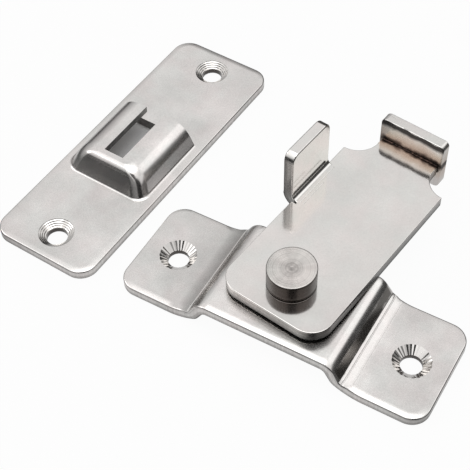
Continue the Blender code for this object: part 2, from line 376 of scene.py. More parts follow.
def ring_tool(x):
    """Cone whose wall is a stair of slightly different slopes."""
    foot = SHEET - SINK_DEPTH
    tool = add_cylinder("ring_tool", BORE_R, NEAR, (x, 0, foot - NEAR / 2))
    edit(tool)
    pick("FACE", lambda f: f.normal.z > 0.9)
    radius = BORE_R
    for step in range(math.ceil(RING_STEPS) + 1):
        for outward, upward in RING_SLOPES:
            wider = radius + SINK_SPREAD / RING_STEPS * outward
            extrude((0, 0, SINK_DEPTH / RING_STEPS * upward))
            widen((wider / radius, wider / radius, 1), (x, 0, 0))
            radius = wider
    leave()
    return tool


def bore(item, radius, location, vertices=64):
    """Cuts a straight hole right through."""
    combine(item, add_cylinder("drill", radius, THROUGH, location, vertices))


def sink_screws(item, screw, tool):
    """Cuts two straight bores on the X axis, each with its countersink."""
    for x in (-screw, screw):
        bore(item, BORE_R, (x, 0, SHEET / 2))
        combine(item, tool(x))


# %% [markdown]
# ## Keeper plate
# The keeper starts as a flat block.  Its corners are rounded with a bevel, its
# rim with a second one, and the top face is inset so that the outer ring can
# sink a little: that is the roll that a punch leaves, and it catches a wide soft
# light along the near edges.

# %% Keeper blank
KEEPER_LENGTH = 0.0888
KEEPER_WIDTH = 0.0310
KEEPER_SCREW = KEEPER_LENGTH / 2 - 0.0080
ROLL_STEPS = ((0.45, 0.95), (0.55, 0.85))


def roll_rim(is_top):
    """Rounds the rims, then lets all that is outside an inset upper face sink a little."""
    pick("EDGE", lambda e: corner_angle(e) > 60)
    bevel(RIM_R, 4)
    pick("FACE", is_top)
    for share_of_width, share_of_drop in ROLL_STEPS:
        bpy.ops.mesh.inset(thickness=ROLL_WIDTH * share_of_width, depth=0)
        faces = [f for f in bmesh.from_edit_mesh(bpy.context.object.data).faces if f.select]
        inner = {v.index for f in faces for v in f.verts}
        chosen = {f.index for f in faces}
        pick("VERT", lambda v: v.normal.z > 0.1 and v.index not in inner)
        push((0, 0, -ROLL_DROP * share_of_drop))
        pick("FACE", lambda f: f.index in chosen)


keeper = add_block(
    "keeper_pressing",
    (-KEEPER_LENGTH / 2, -KEEPER_WIDTH / 2, 0),
    (KEEPER_LENGTH / 2, KEEPER_WIDTH / 2, SHEET),
)
edit(keeper)
pick("EDGE", lambda e: abs(e.verts[0].co.z - e.verts[1].co.z) > SHEET / 2)
bevel(CORNER_R, 14)
roll_rim(lambda f: f.normal.z > 0.99 and f.calc_area() > 0.0001)
leave()
report(keeper)

# %% [markdown]
# ### The hump
# The hump is drawn out of the plate: long soft shoulders down both sides, a
# tight one at its closed end, and a square cut at the open end.  It is raised
# from its footprint one level at a time, each level an extrude and a resize,
# with the widths taken from the arcs of the shoulders.

# %% Hump levels
HUMP_CLOSED = -0.0164
HUMP_OPEN = 0.0089
HUMP_HALF = 0.0130
HUMP_TOP = 0.0099
HUMP_LEAN = math.radians(63)
HUMP_WALL = 0.0020
SIDE_R = 0.0072
END_R = 0.0025
FOOT_R = 0.0012
END_FOOT_R = 0.0007
CORNER_IN_PLAN = 0.0039
SINK_IN = 0.00001


def slanted(rise):
    """How far a leaning wall comes in over a rise."""
    return rise / math.tan(HUMP_LEAN)


def bend_height(radius, share=1.0):
    """Height that an arc takes on its way to the wall's lean."""
    return radius * (1 - math.cos(HUMP_LEAN * share))


def wall_inset(z, top, radius):
    """How far a wall has come in from its foot at height z."""
    bend_z = top - bend_height(radius)
    if z <= bend_z:
        return slanted(z - SHEET)
    rise = min(1.0, (z - top + radius) / radius)
    spring = slanted(bend_z - SHEET) + radius * math.sin(HUMP_LEAN)
    return spring - radius * math.sqrt(1 - rise * rise)


def foot_spread(z, radius):
    """How far a wall's hollow foot reaches out at height z."""
    rise = z - SHEET + SINK_IN
    if rise >= bend_height(radius):
        return -slanted(z - SHEET)
    share = max(0.0, 1 - rise / radius)
    return radius * math.tan(HUMP_LEAN / 2) - radius * math.sqrt(1 - share * share)


def shoulder_levels(top, radii, steps):
    """Heights at which the shoulders of a hump are drawn, from the lowest up."""
    return sorted({
        round(top - bend_height(radius, i / steps), 5) for radius in radii for i in range(steps + 1)
    })


def raise_body(name, levels, open_x):
    """Solid through (z, half width, closed end) levels, by extrude and resize."""
    z, half, closed = levels[0]
    body = add_sheet(name, closed, open_x, half, z)
    edit(body)
    pick("VERT", lambda v: v.co.x < 0)
    bevel(CORNER_IN_PLAN, 12, "VERTICES")
    pick("FACE", lambda f: True)
    for next_z, next_half, next_closed in levels[1:]:
        extrude((0, 0, next_z - z))
        stretch_x = (open_x - next_closed) / (open_x - closed)
        widen((stretch_x, next_half / half, 1), (open_x, 0, next_z))
        z, half, closed = next_z, next_half, next_closed
    pick_all()
    bpy.ops.mesh.normals_make_consistent(inside=False)
    leave()
    return body


# %% [markdown]
# The lowest levels draw the hollow foot, the others the shoulders.  Levels that
# lie closer than a tenth of a millimetre are left out, and the lowest one lies
# inside the plate, so that the union has something to hold on to.

# %% Raise the hump and join it to the plate
PLATE_Z = SHEET - SINK_IN
LEVEL_GAP = 0.0001
foot_z = sorted(
    PLATE_Z + bend_height(radius, i / 8) for radius in (FOOT_R, END_FOOT_R) for i in range(1, 9)
)
hump_levels = [
    (
        z,
        HUMP_HALF + foot_spread(max(z, PLATE_Z), FOOT_R),
        HUMP_CLOSED - foot_spread(max(z, PLATE_Z), END_FOOT_R),
    )
    for z in [SHEET / 2, PLATE_Z] + foot_z
]
for z in shoulder_levels(HUMP_TOP, (SIDE_R, END_R), 12):
    if z > hump_levels[-1][0] + LEVEL_GAP:
        side_inset = wall_inset(z, HUMP_TOP, SIDE_R)
        end_inset = wall_inset(z, HUMP_TOP, END_R)
        hump_levels.append((z, HUMP_HALF - side_inset, HUMP_CLOSED + end_inset))
combine(keeper, raise_body("hump", hump_levels, HUMP_OPEN), "UNION")
report(keeper)

# %% [markdown]
# The pocket under the hump is the same shape one wall thickness further in.
# It runs out under the open end, where the punch sheared the plate through.

# %% Cut the pocket, the slot and the screw holes
POCKET_TOP = HUMP_TOP - HUMP_WALL
POCKET_SIDE_R = SIDE_R - HUMP_WALL
POCKET_END_R = END_R - HUMP_WALL
LANCE_X = HUMP_OPEN + 0.0009
SLOT_END = -0.0104
SLOT_HALF = 0.0031

sunk = HUMP_WALL / math.sin(HUMP_LEAN)
pocket_half, pocket_closed = HUMP_HALF - sunk, HUMP_CLOSED + sunk
splay = slanted(SHEET)
pocket_levels = [(z, pocket_half + splay, pocket_closed - splay) for z in (-SHEET, 0.0)]
pocket_levels += [
    (
        z,
        pocket_half - wall_inset(z, POCKET_TOP, POCKET_SIDE_R),
        pocket_closed + wall_inset(z, POCKET_TOP, POCKET_END_R),
    )
    for z in shoulder_levels(POCKET_TOP, (POCKET_SIDE_R, POCKET_END_R), 8)
]
combine(keeper, raise_body("pocket", pocket_levels, LANCE_X))
combine(keeper, add_block(
    "slot",
    (SLOT_END, -SLOT_HALF, POCKET_TOP - HUMP_WALL),
    (HUMP_OPEN + HUMP_WALL, SLOT_HALF, HUMP_TOP + HUMP_WALL),
))
sink_screws(keeper, KEEPER_SCREW, ring_tool)
break_edges(keeper, 0.00012)
smooth(keeper)

# %% [markdown]
# The keeper's cut sides are its outline, the walls of the slot and the sheared
# open end.  In the slot and at the open end the same large depth is stored all
# over the wall, so that the paint turns the whole wall dark: a painted shade.

# %% Keeper marks and place
KEEPER_RIM = 0.0010
LANCE_REACH = 0.0013
WALL_SHADE_DEPTH = 0.90 * SHEET
HUMP_DEPTH_SHARE = 0.36


def keeper_cut(face):
    """True for the outline, the hump's open end and the walls of its slot."""
    if abs(face.normal.z) > 0.5 or from_screw(face.center, KEEPER_SCREW) < SINK_R + NEAR:
        return False
    on_outline = (
        abs(face.center.y) > KEEPER_WIDTH / 2 - KEEPER_RIM
        or abs(face.center.x) > KEEPER_LENGTH / 2 - CORNER_R
    )
    in_slot = abs(face.center.y) < SLOT_HALF + NEAR and face.center.z > POCKET_TOP
    at_open_end = abs(face.center.x - LANCE_X) < LANCE_REACH and abs(face.normal.x) > 0.6
    return on_outline or in_slot or at_open_end


def keeper_depth(co):
    in_slot = co.z > POCKET_TOP - NEAR and abs(co.y) < SLOT_HALF + NEAR
    on_lance = co.z < SHEET and abs(co.x - LANCE_X) < 1.5 * NEAR and abs(co.y) < HUMP_HALF
    # Painted shade: the slot's walls and the open end's wall get one large depth, which the paint
    # turns dark.
    if in_slot or on_lance:
        return WALL_SHADE_DEPTH
    return (HUMP_TOP - co.z) * HUMP_DEPTH_SHARE if co.z > SHEET else SHEET - co.z


write_corners(keeper, "depth", keeper_depth, keeper_cut)
mark_holes(keeper, KEEPER_SCREW)
place(keeper, KEEPER_PLACE, KEEPER_TURN)
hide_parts("keeper_plate")
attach(keeper, "latch_base")
report(keeper)

# %% [markdown]
# ## Base plate
# The base is a strip folded like a hat.  It starts as the flat top of the
# bridge.  Its right edge is spun down round the upper fold, pulled out along
# the slope, spun back round the lower fold and pulled out into the wing.  The
# left half is made the same way, and Solidify gives the sheet its thickness.
# A pressed fold is never flat beside its crease: the crease itself is tight,
# and the wing climbs to it in a long shallow ramp.

# %% Folded strip
BASE_LENGTH = 0.0850
BASE_WIDTH = 0.0300
BASE_SCREW = BASE_LENGTH / 2 - 0.0095
BRIDGE_HALF = 0.0156
BRIDGE_TOP = 0.0093
FOLD = math.radians(60)
RAMP = math.radians(30)
UPPER_R = 0.0045
CREASE_R = 0.0006
RAMP_R = 0.0125
UPPER_STEPS = 12
RAMP_STEPS = 14
crease_z = SHEET + RAMP_R * (1 - math.cos(RAMP)) + CREASE_R * (math.cos(RAMP) - math.cos(FOLD))
slope_length = (BRIDGE_TOP - crease_z - UPPER_R * (1 - math.cos(FOLD))) / math.sin(FOLD)
slope_x = BRIDGE_HALF + UPPER_R * math.sin(FOLD)
crease_x = slope_x + slope_length * math.cos(FOLD)
flat_x = crease_x + CREASE_R * (math.sin(FOLD) - math.sin(RAMP)) + RAMP_R * math.sin(RAMP)
crease_turn_x = crease_x + CREASE_R * math.sin(FOLD)
crease_turn_z = crease_z + CREASE_R * math.cos(FOLD)


def fold_half(side):
    """Draws one half of the strip outwards from the bridge; side is 1 or -1."""
    pick("EDGE", lambda e: abs(middle(e).x - side * BRIDGE_HALF) < TINY)
    for steps, angle, x, z in (
        (UPPER_STEPS, -FOLD, BRIDGE_HALF, BRIDGE_TOP - UPPER_R),
        (3, FOLD - RAMP, crease_turn_x, crease_turn_z),
        (RAMP_STEPS, RAMP, flat_x, SHEET + RAMP_R),
    ):
        bpy.ops.mesh.spin(
            steps=steps, angle=side * angle, center=(side * x, 0, z), axis=(0, 1, 0)
        )
        if angle < 0:
            extrude((side * (crease_x - slope_x), 0, -slope_length * math.sin(FOLD)))
    extrude((side * (BASE_LENGTH / 2 - flat_x), 0, 0))


base = add_sheet("base_pressing", -BRIDGE_HALF, BRIDGE_HALF, BASE_WIDTH / 2, BRIDGE_TOP)
edit(base)
fold_half(1)
fold_half(-1)
pick_all()
bpy.ops.mesh.remove_doubles(threshold=TINY)
pick_all()
bpy.ops.mesh.normals_make_consistent(inside=False)
pick("VERT", lambda v: abs(v.co.x) > BASE_LENGTH / 2 - TINY)
bevel(CORNER_R, 14, "VERTICES")
leave()
print("fold: slope", round(slope_length * 1000, 2), "mm, crease at", round(crease_x * 1000, 2),
      "mm, flat from", round(flat_x * 1000, 2), "mm")

# %% [markdown]
# Solidify works on the side away from the normals, so it matters that the
# drawn face looks up.  Then the rims are rounded and rolled like the keeper's.
# Where a sheet is folded, its inner side bulges a little at both edges.

# %% Thickness, rims and fold bulges
BULGE = 0.00028
BULGE_REACH = 0.0016
BULGE_HALF = 0.0009
BULGE_HEIGHT = 0.0015
BULGE_RIM = 0.0003


def thicken(item):
    """Turns the drawn faces up where they look down, and gives them a thickness."""
    edit(item)
    if pick("FACE", lambda f: f.normal.z < -0.3):
        pick_all()
        bpy.ops.mesh.flip_normals()
    leave()
    modifier = item.modifiers.new("sheet", "SOLIDIFY")
    modifier.thickness = SHEET
    modifier.offset = -1
    modifier.use_even_offset = True
    modifier.use_quality_normals = True
    apply_modifier(item, modifier)


thicken(base)
edit(base)
roll_rim(
    lambda f: f.normal.z > 0.3
    and abs(f.normal.y) < 0.05
    and abs(middle(f).x) < BASE_LENGTH / 2 - RIM_R
    and abs(middle(f).y) < BASE_WIDTH / 2 - RIM_R
)
for side, edge in ((-1, -1), (-1, 1), (1, -1), (1, 1)):
    found = pick(
        "VERT",
        lambda v: abs(v.co.x - side * crease_x) < BULGE_HALF
        and v.co.y * edge > BASE_WIDTH / 2 - BULGE_RIM
        and crease_z - BULGE_HEIGHT < v.co.z < crease_z,
    )
    bpy.ops.transform.translate(
        value=(0, edge * BULGE, 0),
        use_proportional_edit=True,
        proportional_edit_falloff="SMOOTH",
        proportional_size=BULGE_REACH,
    )
leave()
print("each fold bulges at", found, "points of its rim")

# %% [markdown]
# The folding tool leaves a crisp line beside the crease and a fainter one on
# the ramp.  A thin bar turned on its edge cuts such a line as a V; the lever
# gets its press marks from the same bar later.

# %% Lines left by the folding tool
BAR = 0.0003
BAR_SQUASH = 0.6
FOLD_LINES = (
    (1, math.radians(25.6), 0.00017),
    (1, math.radians(16), 0.00009),
    (-1, math.radians(28.5), 0.00002),
)


def score(item, start, end, lean, depth):
    """Cuts a V line between two points of a surface that leans about the line."""
    start, end = Vector(start), Vector(end)
    half = (end - start).length / 2
    bar = add_block("bar", (-half, -BAR, -BAR), (half, BAR, BAR))
    edit(bar)
    pick_all()
    bpy.ops.transform.rotate(value=math.pi / 4, orient_axis="X", center_override=(0, 0, 0))
    widen((1, 1, BAR_SQUASH), (0, 0, 0))
    push((0, 0, BAR * math.sqrt(2) * BAR_SQUASH - depth))
    leave()
    along = end - start
    bar.matrix_world = (
        Matrix.Translation((start + end) / 2)
        @ Matrix.Rotation(math.atan2(along.y, along.x), 4, "Z")
        @ Matrix.Rotation(lean, 4, "X")
    )
    only(bar)
    bpy.ops.object.transform_apply(location=True, rotation=True, scale=True)
    combine(item, bar)


for side, lean, depth in FOLD_LINES:
    x = side * (flat_x - RAMP_R * math.sin(lean))
    z = SHEET + RAMP_R * (1 - math.cos(lean))
    reach = side * (BASE_WIDTH / 2 + 0.001)
    score(base, (x, reach, z), (x, -reach, z), lean, depth)
report(base)

# %% [markdown]
# The screw holes and the pin's hole are cut last, so that the folds stay clean
# faces until then.  The depth of a cut side is measured from the folded upper
# face, which is written down as a line of points seen from the side.

# %% Holes, marks and place of the base
BASE_RIM = 0.0012
PIN_HOLE_R = 0.0033

sink_screws(base, BASE_SCREW, chatter_tool)
bore(base, PIN_HOLE_R, (0, 0, BRIDGE_TOP), 48)
break_edges(base, 0.00010)
smooth(
    base,
    lambda f: 0.4 < f.normal.z < 0.9
    and from_screw(middle(f), BASE_SCREW) < SINK_R
    and middle(f).z < SHEET - NEAR,
)
base_profile = [
    Vector((0, BRIDGE_TOP)),
    *arc(Vector((BRIDGE_HALF, BRIDGE_TOP)), UPPER_R, -UPPER_R, FOLD, UPPER_STEPS),
    Vector((crease_x, crease_z)),
    *reversed(arc(Vector((flat_x, SHEET)), -RAMP_R, RAMP_R, RAMP, RAMP_STEPS)),
    Vector((BASE_LENGTH / 2, SHEET)),
]


def base_cut(face):
    at_end = abs(face.center.x) > BASE_LENGTH / 2 - CORNER_R and abs(face.normal.z) < 0.5
    at_edge = abs(face.center.y) > BASE_WIDTH / 2 - BASE_RIM and abs(face.normal.y) > 0.7
    return (at_end or at_edge) and from_screw(face.center, BASE_SCREW) > SINK_R + NEAR


def base_depth(co):
    return profile_depth(Vector((abs(co.x), co.z)), base_profile)


write_corners(base, "depth", base_depth, base_cut)
mark_holes(base, BASE_SCREW)
place(base, PIVOT)
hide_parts("base_plate")
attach(base, "latch_base")
report(base)

# %% [markdown]
# ## Lever
# The lever is one flat blank.  A strip of its left edge is cut loose by a small
# notch and a slit and folded up as the thumb tab, so here that edge is spun up
# and pulled out.  The far corners are bitten out with round cutters, which
# leaves the tongue that the hook plate is welded to.

# %% Lever blank and thumb tab
LEVER_HALF = 0.0151
LEVER_HEEL = -0.0106
HEEL_CORNER_R = 0.0060
NECK_X = 0.0512
TONGUE_END = 0.0532
TONGUE_HALF = 0.0086
TAB_START = 0.0213
TAB_END = 0.0375
TAB_TOP = 0.0183
TAB_CORNER_R = 0.0025
FOLD_Y = 0.0137
TAB_FOLD_R = 0.0015
TAB_FOLD_STEPS = 8
RELIEF = 0.0005
SLIT = 0.00008

lever = add_sheet("lever_pressing", LEVER_HEEL, NECK_X, LEVER_HALF, SHEET)
edit(lever)
for x in (TAB_START - RELIEF, TAB_START, TAB_END, TAB_END + SLIT):
    split((x, 0, 0), (1, 0, 0))
for y in (-TONGUE_HALF, TONGUE_HALF, FOLD_Y):
    split((0, y, 0), (0, 1, 0))
pick("FACE", lambda f: middle(f).y > FOLD_Y and TAB_START - RELIEF < middle(f).x < TAB_END + SLIT)
bpy.ops.mesh.delete(type="FACE")
pick("EDGE", lambda e: abs(middle(e).y - FOLD_Y) < TINY and TAB_START < middle(e).x < TAB_END)
bpy.ops.mesh.spin(
    steps=TAB_FOLD_STEPS,
    angle=-math.pi / 2,
    center=(0, FOLD_Y, SHEET + TAB_FOLD_R),
    axis=(1, 0, 0),
)
extrude((0, 0, TAB_TOP - SHEET - TAB_FOLD_R))
pick("EDGE", lambda e: middle(e).x > NECK_X - TINY and abs(middle(e).y) < TONGUE_HALF)
extrude((TONGUE_END - NECK_X, 0, 0))
pick_all()
bpy.ops.mesh.dissolve_limited(angle_limit=math.radians(1))
pick("VERT", lambda v: abs(v.co.x - LEVER_HEEL) < TINY)
bevel(HEEL_CORNER_R, 14, "VERTICES")
pick("VERT", lambda v: v.co.z > TAB_TOP - TINY)
bevel(TAB_CORNER_R, 8, "VERTICES")
pick_all()
bpy.ops.mesh.normals_make_consistent(inside=False)
leave()
print("the tab stands", round((TAB_TOP - SHEET) * 1000, 1), "mm above the lever")

# %% [markdown]
# The sheet gets its thickness, the round notches are cut, and the edges are
# broken: a little more round the tab, where a thumb lies, than elsewhere.

# %% Lever thickness, notches and edges
NOTCH_R = 0.0065
TAB_EDGE_R = 0.00042
FINE_EDGE_R = 0.00022

thicken(lever)
for side in (-1, 1):
    bore(lever, NOTCH_R, (NECK_X, side * LEVER_HALF, 0), 96)
edit(lever)
pick("EDGE", lambda e: corner_angle(e) > 50 and middle(e).z > SHEET + TAB_FOLD_R)
bevel(TAB_EDGE_R, 4)
pick("EDGE", lambda e: corner_angle(e) > 50)
bevel(FINE_EDGE_R, 3)
leave()
report(lever)

# %% [markdown]
# The press left a mark on the lever just beside the tab's fold: two fine
# grooves, the second one shorter.  The lever's cut sides are marked like the
# others, and its right-hand side, which lies close above the base and in its
# shade, gets a mark of its own that fades along it and round the corner.

# %% Press marks, pivot hole, marks and place of the lever
LEVER_HOLE_R = 0.0043
MARK_START = TAB_START + 0.0005
PRESS_MARKS = ((0.0131, 0.00012, TAB_END - 0.0005), (0.0121, 0.00008, 0.0310))
SHADE_END = 0.034
SHADE_FADE = 0.018
SHADE_EDGE = 0.0095
SHADE_TURN = 0.0035

for y, depth, end in PRESS_MARKS:
    score(lever, (MARK_START, y, SHEET), (end, y, SHEET), 0.0, depth)
bore(lever, LEVER_HOLE_R, (0, 0, 0), 48)
smooth(lever)
lever_profile = [
    Vector((-LEVER_HALF, SHEET)),
    *arc(Vector((FOLD_Y, SHEET)), TAB_FOLD_R, TAB_FOLD_R, math.pi / 2, TAB_FOLD_STEPS),
    Vector((FOLD_Y + TAB_FOLD_R, TAB_TOP)),
]


def on_tab(point):
    return point.y > FOLD_Y - NEAR / 2 and TAB_START - 0.0003 < point.x < TAB_END + 0.0003


def lever_cut(face):
    if on_tab(face.center):
        return abs(face.normal.y) < 0.5 and face.normal.z < 0.6
    return abs(face.normal.z) < 0.5


def lever_depth(co):
    return profile_depth(Vector((co.y, co.z)), lever_profile) if on_tab(co) else SHEET - co.z


def in_shade(face):
    return face.normal.z < -0.9 or (face.normal.y < -0.01 and abs(face.normal.z) < 0.8)


def clamp(value):
    return max(0.0, min(1.0, value))


def shade_of(co):
    """One on the right-hand side beside the base, fading along it and round the corner."""
    return clamp((SHADE_END - co.x) / SHADE_FADE) * clamp((-SHADE_EDGE - co.y) / SHADE_TURN)


write_corners(lever, "depth", lever_depth, lever_cut)
write_corners(lever, "shaded", shade_of, in_shade)
place(lever, LEVER_PLACE, LEVER_TURN)
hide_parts("swing_lever")
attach(lever, "lever")
report(lever)

# %% [markdown]
# ## Hook plate
# A small plate stands on edge across the tongue's end.  It is cut from the same
# sheet and its corners and edges are ground round.

# %% Hook plate
HOOK_FACE = 0.0535
HOOK_HALF = 0.0095
HOOK_LOW = -0.0049
HOOK_HIGH = 0.0100
HOOK_CORNER_R = 0.0015

hook = add_block(
    "hook_blank", (HOOK_FACE, -HOOK_HALF, HOOK_LOW), (HOOK_FACE + SHEET, HOOK_HALF, HOOK_HIGH)
)
edit(hook)
pick("EDGE", lambda e: abs(e.verts[0].co.x - e.verts[1].co.x) > SHEET / 2)
bevel(HOOK_CORNER_R, 8)
pick("EDGE", lambda e: corner_angle(e) > 60)
bevel(FINE_EDGE_R, 3)
leave()
smooth(hook)
place(hook, LEVER_PLACE, LEVER_TURN)
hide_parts("hook_plate")
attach(hook, "lever")
report(hook)

# %% [markdown]
# ### Weld
# The bead that joins hook and tongue is a thin rod laid into the corner, with
# its surface pushed in and out by a cloud texture until it looks molten.  A
# second bead lies under the tongue.

# %% Weld beads
BEAD_CUTS = 46
RIPPLE_SIZE = 0.0015


def lay_bead(name, z, half, radius, pattern_shift):
    """A rippled rod across the tongue's end; the shift gives each bead its own ripple."""
    bead = add_cylinder(name, radius, 2 * half, (0, 0, 0), 16)
    edit(bead)
    pick_all()
    bpy.ops.transform.rotate(value=-math.pi / 2, orient_axis="X", center_override=(0, 0, 0))
    for i in range(1, BEAD_CUTS):
        split((0, -half + 2 * half * i / BEAD_CUTS, 0), (0, 1, 0))
    pick("FACE", lambda f: abs(f.normal.y) > 0.9)
    bpy.ops.mesh.inset(thickness=radius * 0.45, depth=radius * 0.3)
    leave()
    clouds = bpy.data.textures.new(name + "_clouds", "CLOUDS")
    clouds.noise_scale = RIPPLE_SIZE
    clouds.noise_depth = 2
    place(bead, (0, pattern_shift, 0))
    modifier = bead.modifiers.new("ripple", "DISPLACE")
    modifier.texture = clouds
    modifier.texture_coords = "LOCAL"
    modifier.strength = radius * 1.1
    modifier.mid_level = 0.55
    apply_modifier(bead, modifier)
    place(bead, (TONGUE_END + NEAR, -pattern_shift, z))
    smooth(bead)
    place(bead, LEVER_PLACE, LEVER_TURN)
    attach(bead, "lever")
    report(bead)
    return bead


upper_bead = lay_bead("weld_upper", SHEET - 0.0001, 0.0083, 0.00038, 0.003)
lower_bead = lay_bead("weld_lower", -0.0001, 0.0080, 0.00070, 0.017)

# %% [markdown]
# ## Pivot pin
# The pin was turned from bar.  It starts as a cylinder; its top face is inset
# again and again with tiny steps, which leaves the rings of the facing cut
# and a dimple in the middle.  A few fine grooves run round its side, and its
# lower face is stepped down to the shank and the tenon and spread out again as
# the peened tail.

# %% Pivot pin
PIN_R = 0.00625
PIN_FOOT = 0.01345
PIN_TOP = 0.01895
PIN_CHAMFER = 0.00022
FACE_TILT = math.radians(2.5)
TILT_AXIS = (0.85, 0.52)
FACE_CUTS = (
    (0.0003, 0), (0.0016, -0.00004), (0.0010, 0.00003), (0.0012, -0.00003),
    (0.0009, -0.00002), (0.00035, 0.00002), (0.00030, -0.00004), (0.00020, -0.00002),
)
SIDE_GROOVES = ((0.0139, 0.00012), (0.0152, 0.00006), (0.0166, 0.00008), (0.0179, 0.00005))
GROOVE_SHARE = 0.993
SHANK_END = 0.00955
TENON_END = 0.00605
PIN_STEPS = (
    (0.0040, PIN_FOOT - SHANK_END), (0.0030, SHANK_END - TENON_END),
    (0.0048, 0.0006), (0.0042, 0.0004), (0.0028, 0.0003),
)

pin = add_cylinder(
    "pin_turned", PIN_R, PIN_TOP - PIN_FOOT, (0, 0, (PIN_TOP + PIN_FOOT) / 2), 96
)
edit(pin)
pick("FACE", lambda f: f.normal.z > 0.9)
bevel(PIN_CHAMFER, 3)
pick("FACE", lambda f: f.normal.z > 0.99 and middle(f).xy.length < 0.0001)
for inset, depth in FACE_CUTS:
    bpy.ops.mesh.inset(thickness=inset, depth=depth)
for ring_z, width in SIDE_GROOVES:
    for z in (ring_z - width, ring_z, ring_z + width):
        split((0, 0, z), UP)
    pick("VERT", lambda v: abs(v.co.z - ring_z) < TINY and v.co.xy.length > PIN_R - 1e-5)
    widen((GROOVE_SHARE, GROOVE_SHARE, 1), (0, 0, ring_z))
pick("FACE", lambda f: f.normal.z < -0.99)
wide = PIN_R
for radius, depth in PIN_STEPS:
    extrude((0, 0, 0))
    widen((radius / wide, radius / wide, 1), (0, 0, 0))
    extrude((0, 0, -depth))
    wide = radius
leave()
report(pin)

# %% [markdown]
# The saw and the lathe left the face a little out of square, so the whole top
# is turned about a line on its rim.

# %% Tilt, marks and place of the pin
tilt_x, tilt_y = TILT_AXIS
edit(pin)
pick("VERT", lambda v: v.co.z > PIN_TOP - 2 * PIN_CHAMFER)
bpy.ops.transform.rotate(
    value=-FACE_TILT,
    orient_axis="X",
    orient_matrix=((tilt_x, tilt_y, 0), (-tilt_y, tilt_x, 0), (0, 0, 1)),
    orient_matrix_type="LOCAL",
    center_override=(-tilt_y * PIN_R, tilt_x * PIN_R, PIN_TOP),
)
leave()
smooth(pin)
place(pin, PIVOT)
write_corners(
    pin, "faced", lambda co: 1.0, lambda f: f.normal.z > 0.6 and f.center.z > PIN_FOOT + 0.004
)
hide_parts("pivot_pin")
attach(pin, "latch_base")
report(pin)

# %% [markdown]
# ## Materials
# All pieces are stainless steel, so all of them are fully metallic with one
# light warm grey, and what tells them apart is the finish: how rough the
# surface is, how it varies, and which marks the tools left.  Those effects are
# node groups, each built once.  A few short helpers keep the node code readable.

# %% Node helpers
def add_node(tree, kind, inputs=None, **settings):
    """Adds a node; inputs are values or sockets, given by name or number."""
    node = tree.nodes.new("ShaderNode" + kind)
    for key, value in settings.items():
        setattr(node, key, value)
    for key, value in (inputs or {}).items():
        if isinstance(value, bpy.types.NodeSocket):
            tree.links.new(value, node.inputs[key])
        else:
            node.inputs[key].default_value = value
    return node


def calc(tree, operation, first, *others):
    """A Math node on one value, or a chain of them through several values."""
    if not others:
        return add_node(tree, "Math", {0: first}, operation=operation).outputs[0]
    for other in others:
        first = add_node(tree, "Math", {0: first, 1: other}, operation=operation).outputs[0]
    return first


def product(tree, *values):
    return calc(tree, "MULTIPLY", *values)


def total(tree, *values):
    return calc(tree, "ADD", *values)


def sway(tree, value, amount):
    """Turns a noise, which lies about one half, into a sway about zero."""
    return product(tree, calc(tree, "SUBTRACT", value, 0.5), amount)


def remap(tree, value, low, high, to_low, to_high, steps="LINEAR"):
    inputs = {
        "Value": value, "From Min": low, "From Max": high, "To Min": to_low, "To Max": to_high
    }
    return add_node(tree, "MapRange", inputs, interpolation_type=steps).outputs["Result"]


def mix_values(tree, factor, a, b):
    return add_node(tree, "Mix", {0: factor, 2: a, 3: b}, data_type="FLOAT").outputs[0]


# %% Colour helpers
def mix_colors(tree, factor, a, b, blend="MIX"):
    node = add_node(tree, "Mix", {0: factor, 6: a, 7: b}, data_type="RGBA", blend_type=blend)
    return node.outputs[2]


def tinted(tree, color, tint):
    """One colour multiplied by another."""
    return mix_colors(tree, 1.0, color, tint, "MULTIPLY")


def grey(tree, value):
    return add_node(tree, "CombineColor", {0: value, 1: value, 2: value}).outputs[0]


def ramp(tree, value, *stops):
    """Colour ramp through (position, colour) stops; a plain number is a grey."""
    node = add_node(tree, "ValToRGB", {"Fac": value})
    elements = node.color_ramp.elements
    while len(elements) < len(stops):
        elements.new(0.5)
    for element, (position, color) in zip(elements, stops):
        element.position = position
        element.color = (*color, 1) if isinstance(color, tuple) else (color, color, color, 1)
    return node.outputs["Color"]


# %% [markdown]
# A pattern is noise read in some space.  Object space is measured in metres
# from the middle of the set, so a noise of scale 100 has spots of about 10 mm.
# The space can be centred on a place, turned, and squeezed along its axes.

# %% Pattern helpers
FLAT = (1, 1, 0)


def object_space(tree):
    return add_node(tree, "TexCoord").outputs["Object"]


def vector_calc(tree, operation, vector, other=None, output=0):
    inputs = {0: vector} if other is None else {0: vector, 1: other}
    return add_node(tree, "VectorMath", inputs, operation=operation).outputs[output]


def axes(tree, vector):
    return add_node(tree, "SeparateXYZ", {0: vector}).outputs


def noise(tree, vector, scale, detail=2.0, roughness=0.5):
    inputs = {"Vector": vector, "Scale": scale, "Detail": detail, "Roughness": roughness}
    return add_node(tree, "TexNoise", inputs).outputs["Fac"]


def centred(tree, vector, location, turn=0.0):
    """A pattern space centred on a place and turned about Z."""
    inputs = {"Vector": vector, "Location": tuple(location), "Rotation": (0, 0, turn)}
    return add_node(tree, "Mapping", inputs, vector_type="TEXTURE").outputs[0]


def squeezed(tree, vector, scale):
    """A pattern space scaled along its three axes."""
    return vector_calc(tree, "MULTIPLY", vector, scale)


def length_of(tree, vector):
    return vector_calc(tree, "LENGTH", vector, output="Value")


def from_z_axis(tree, vector):
    return length_of(tree, squeezed(tree, vector, FLAT))


# %% [markdown]
# A node group gets its sockets from its interface.  It gives out colours and
# values only; the shader stays in each material.

# %% Group helpers
GREY_STEEL = ("Color", (0.7, 0.68, 0.66, 1))


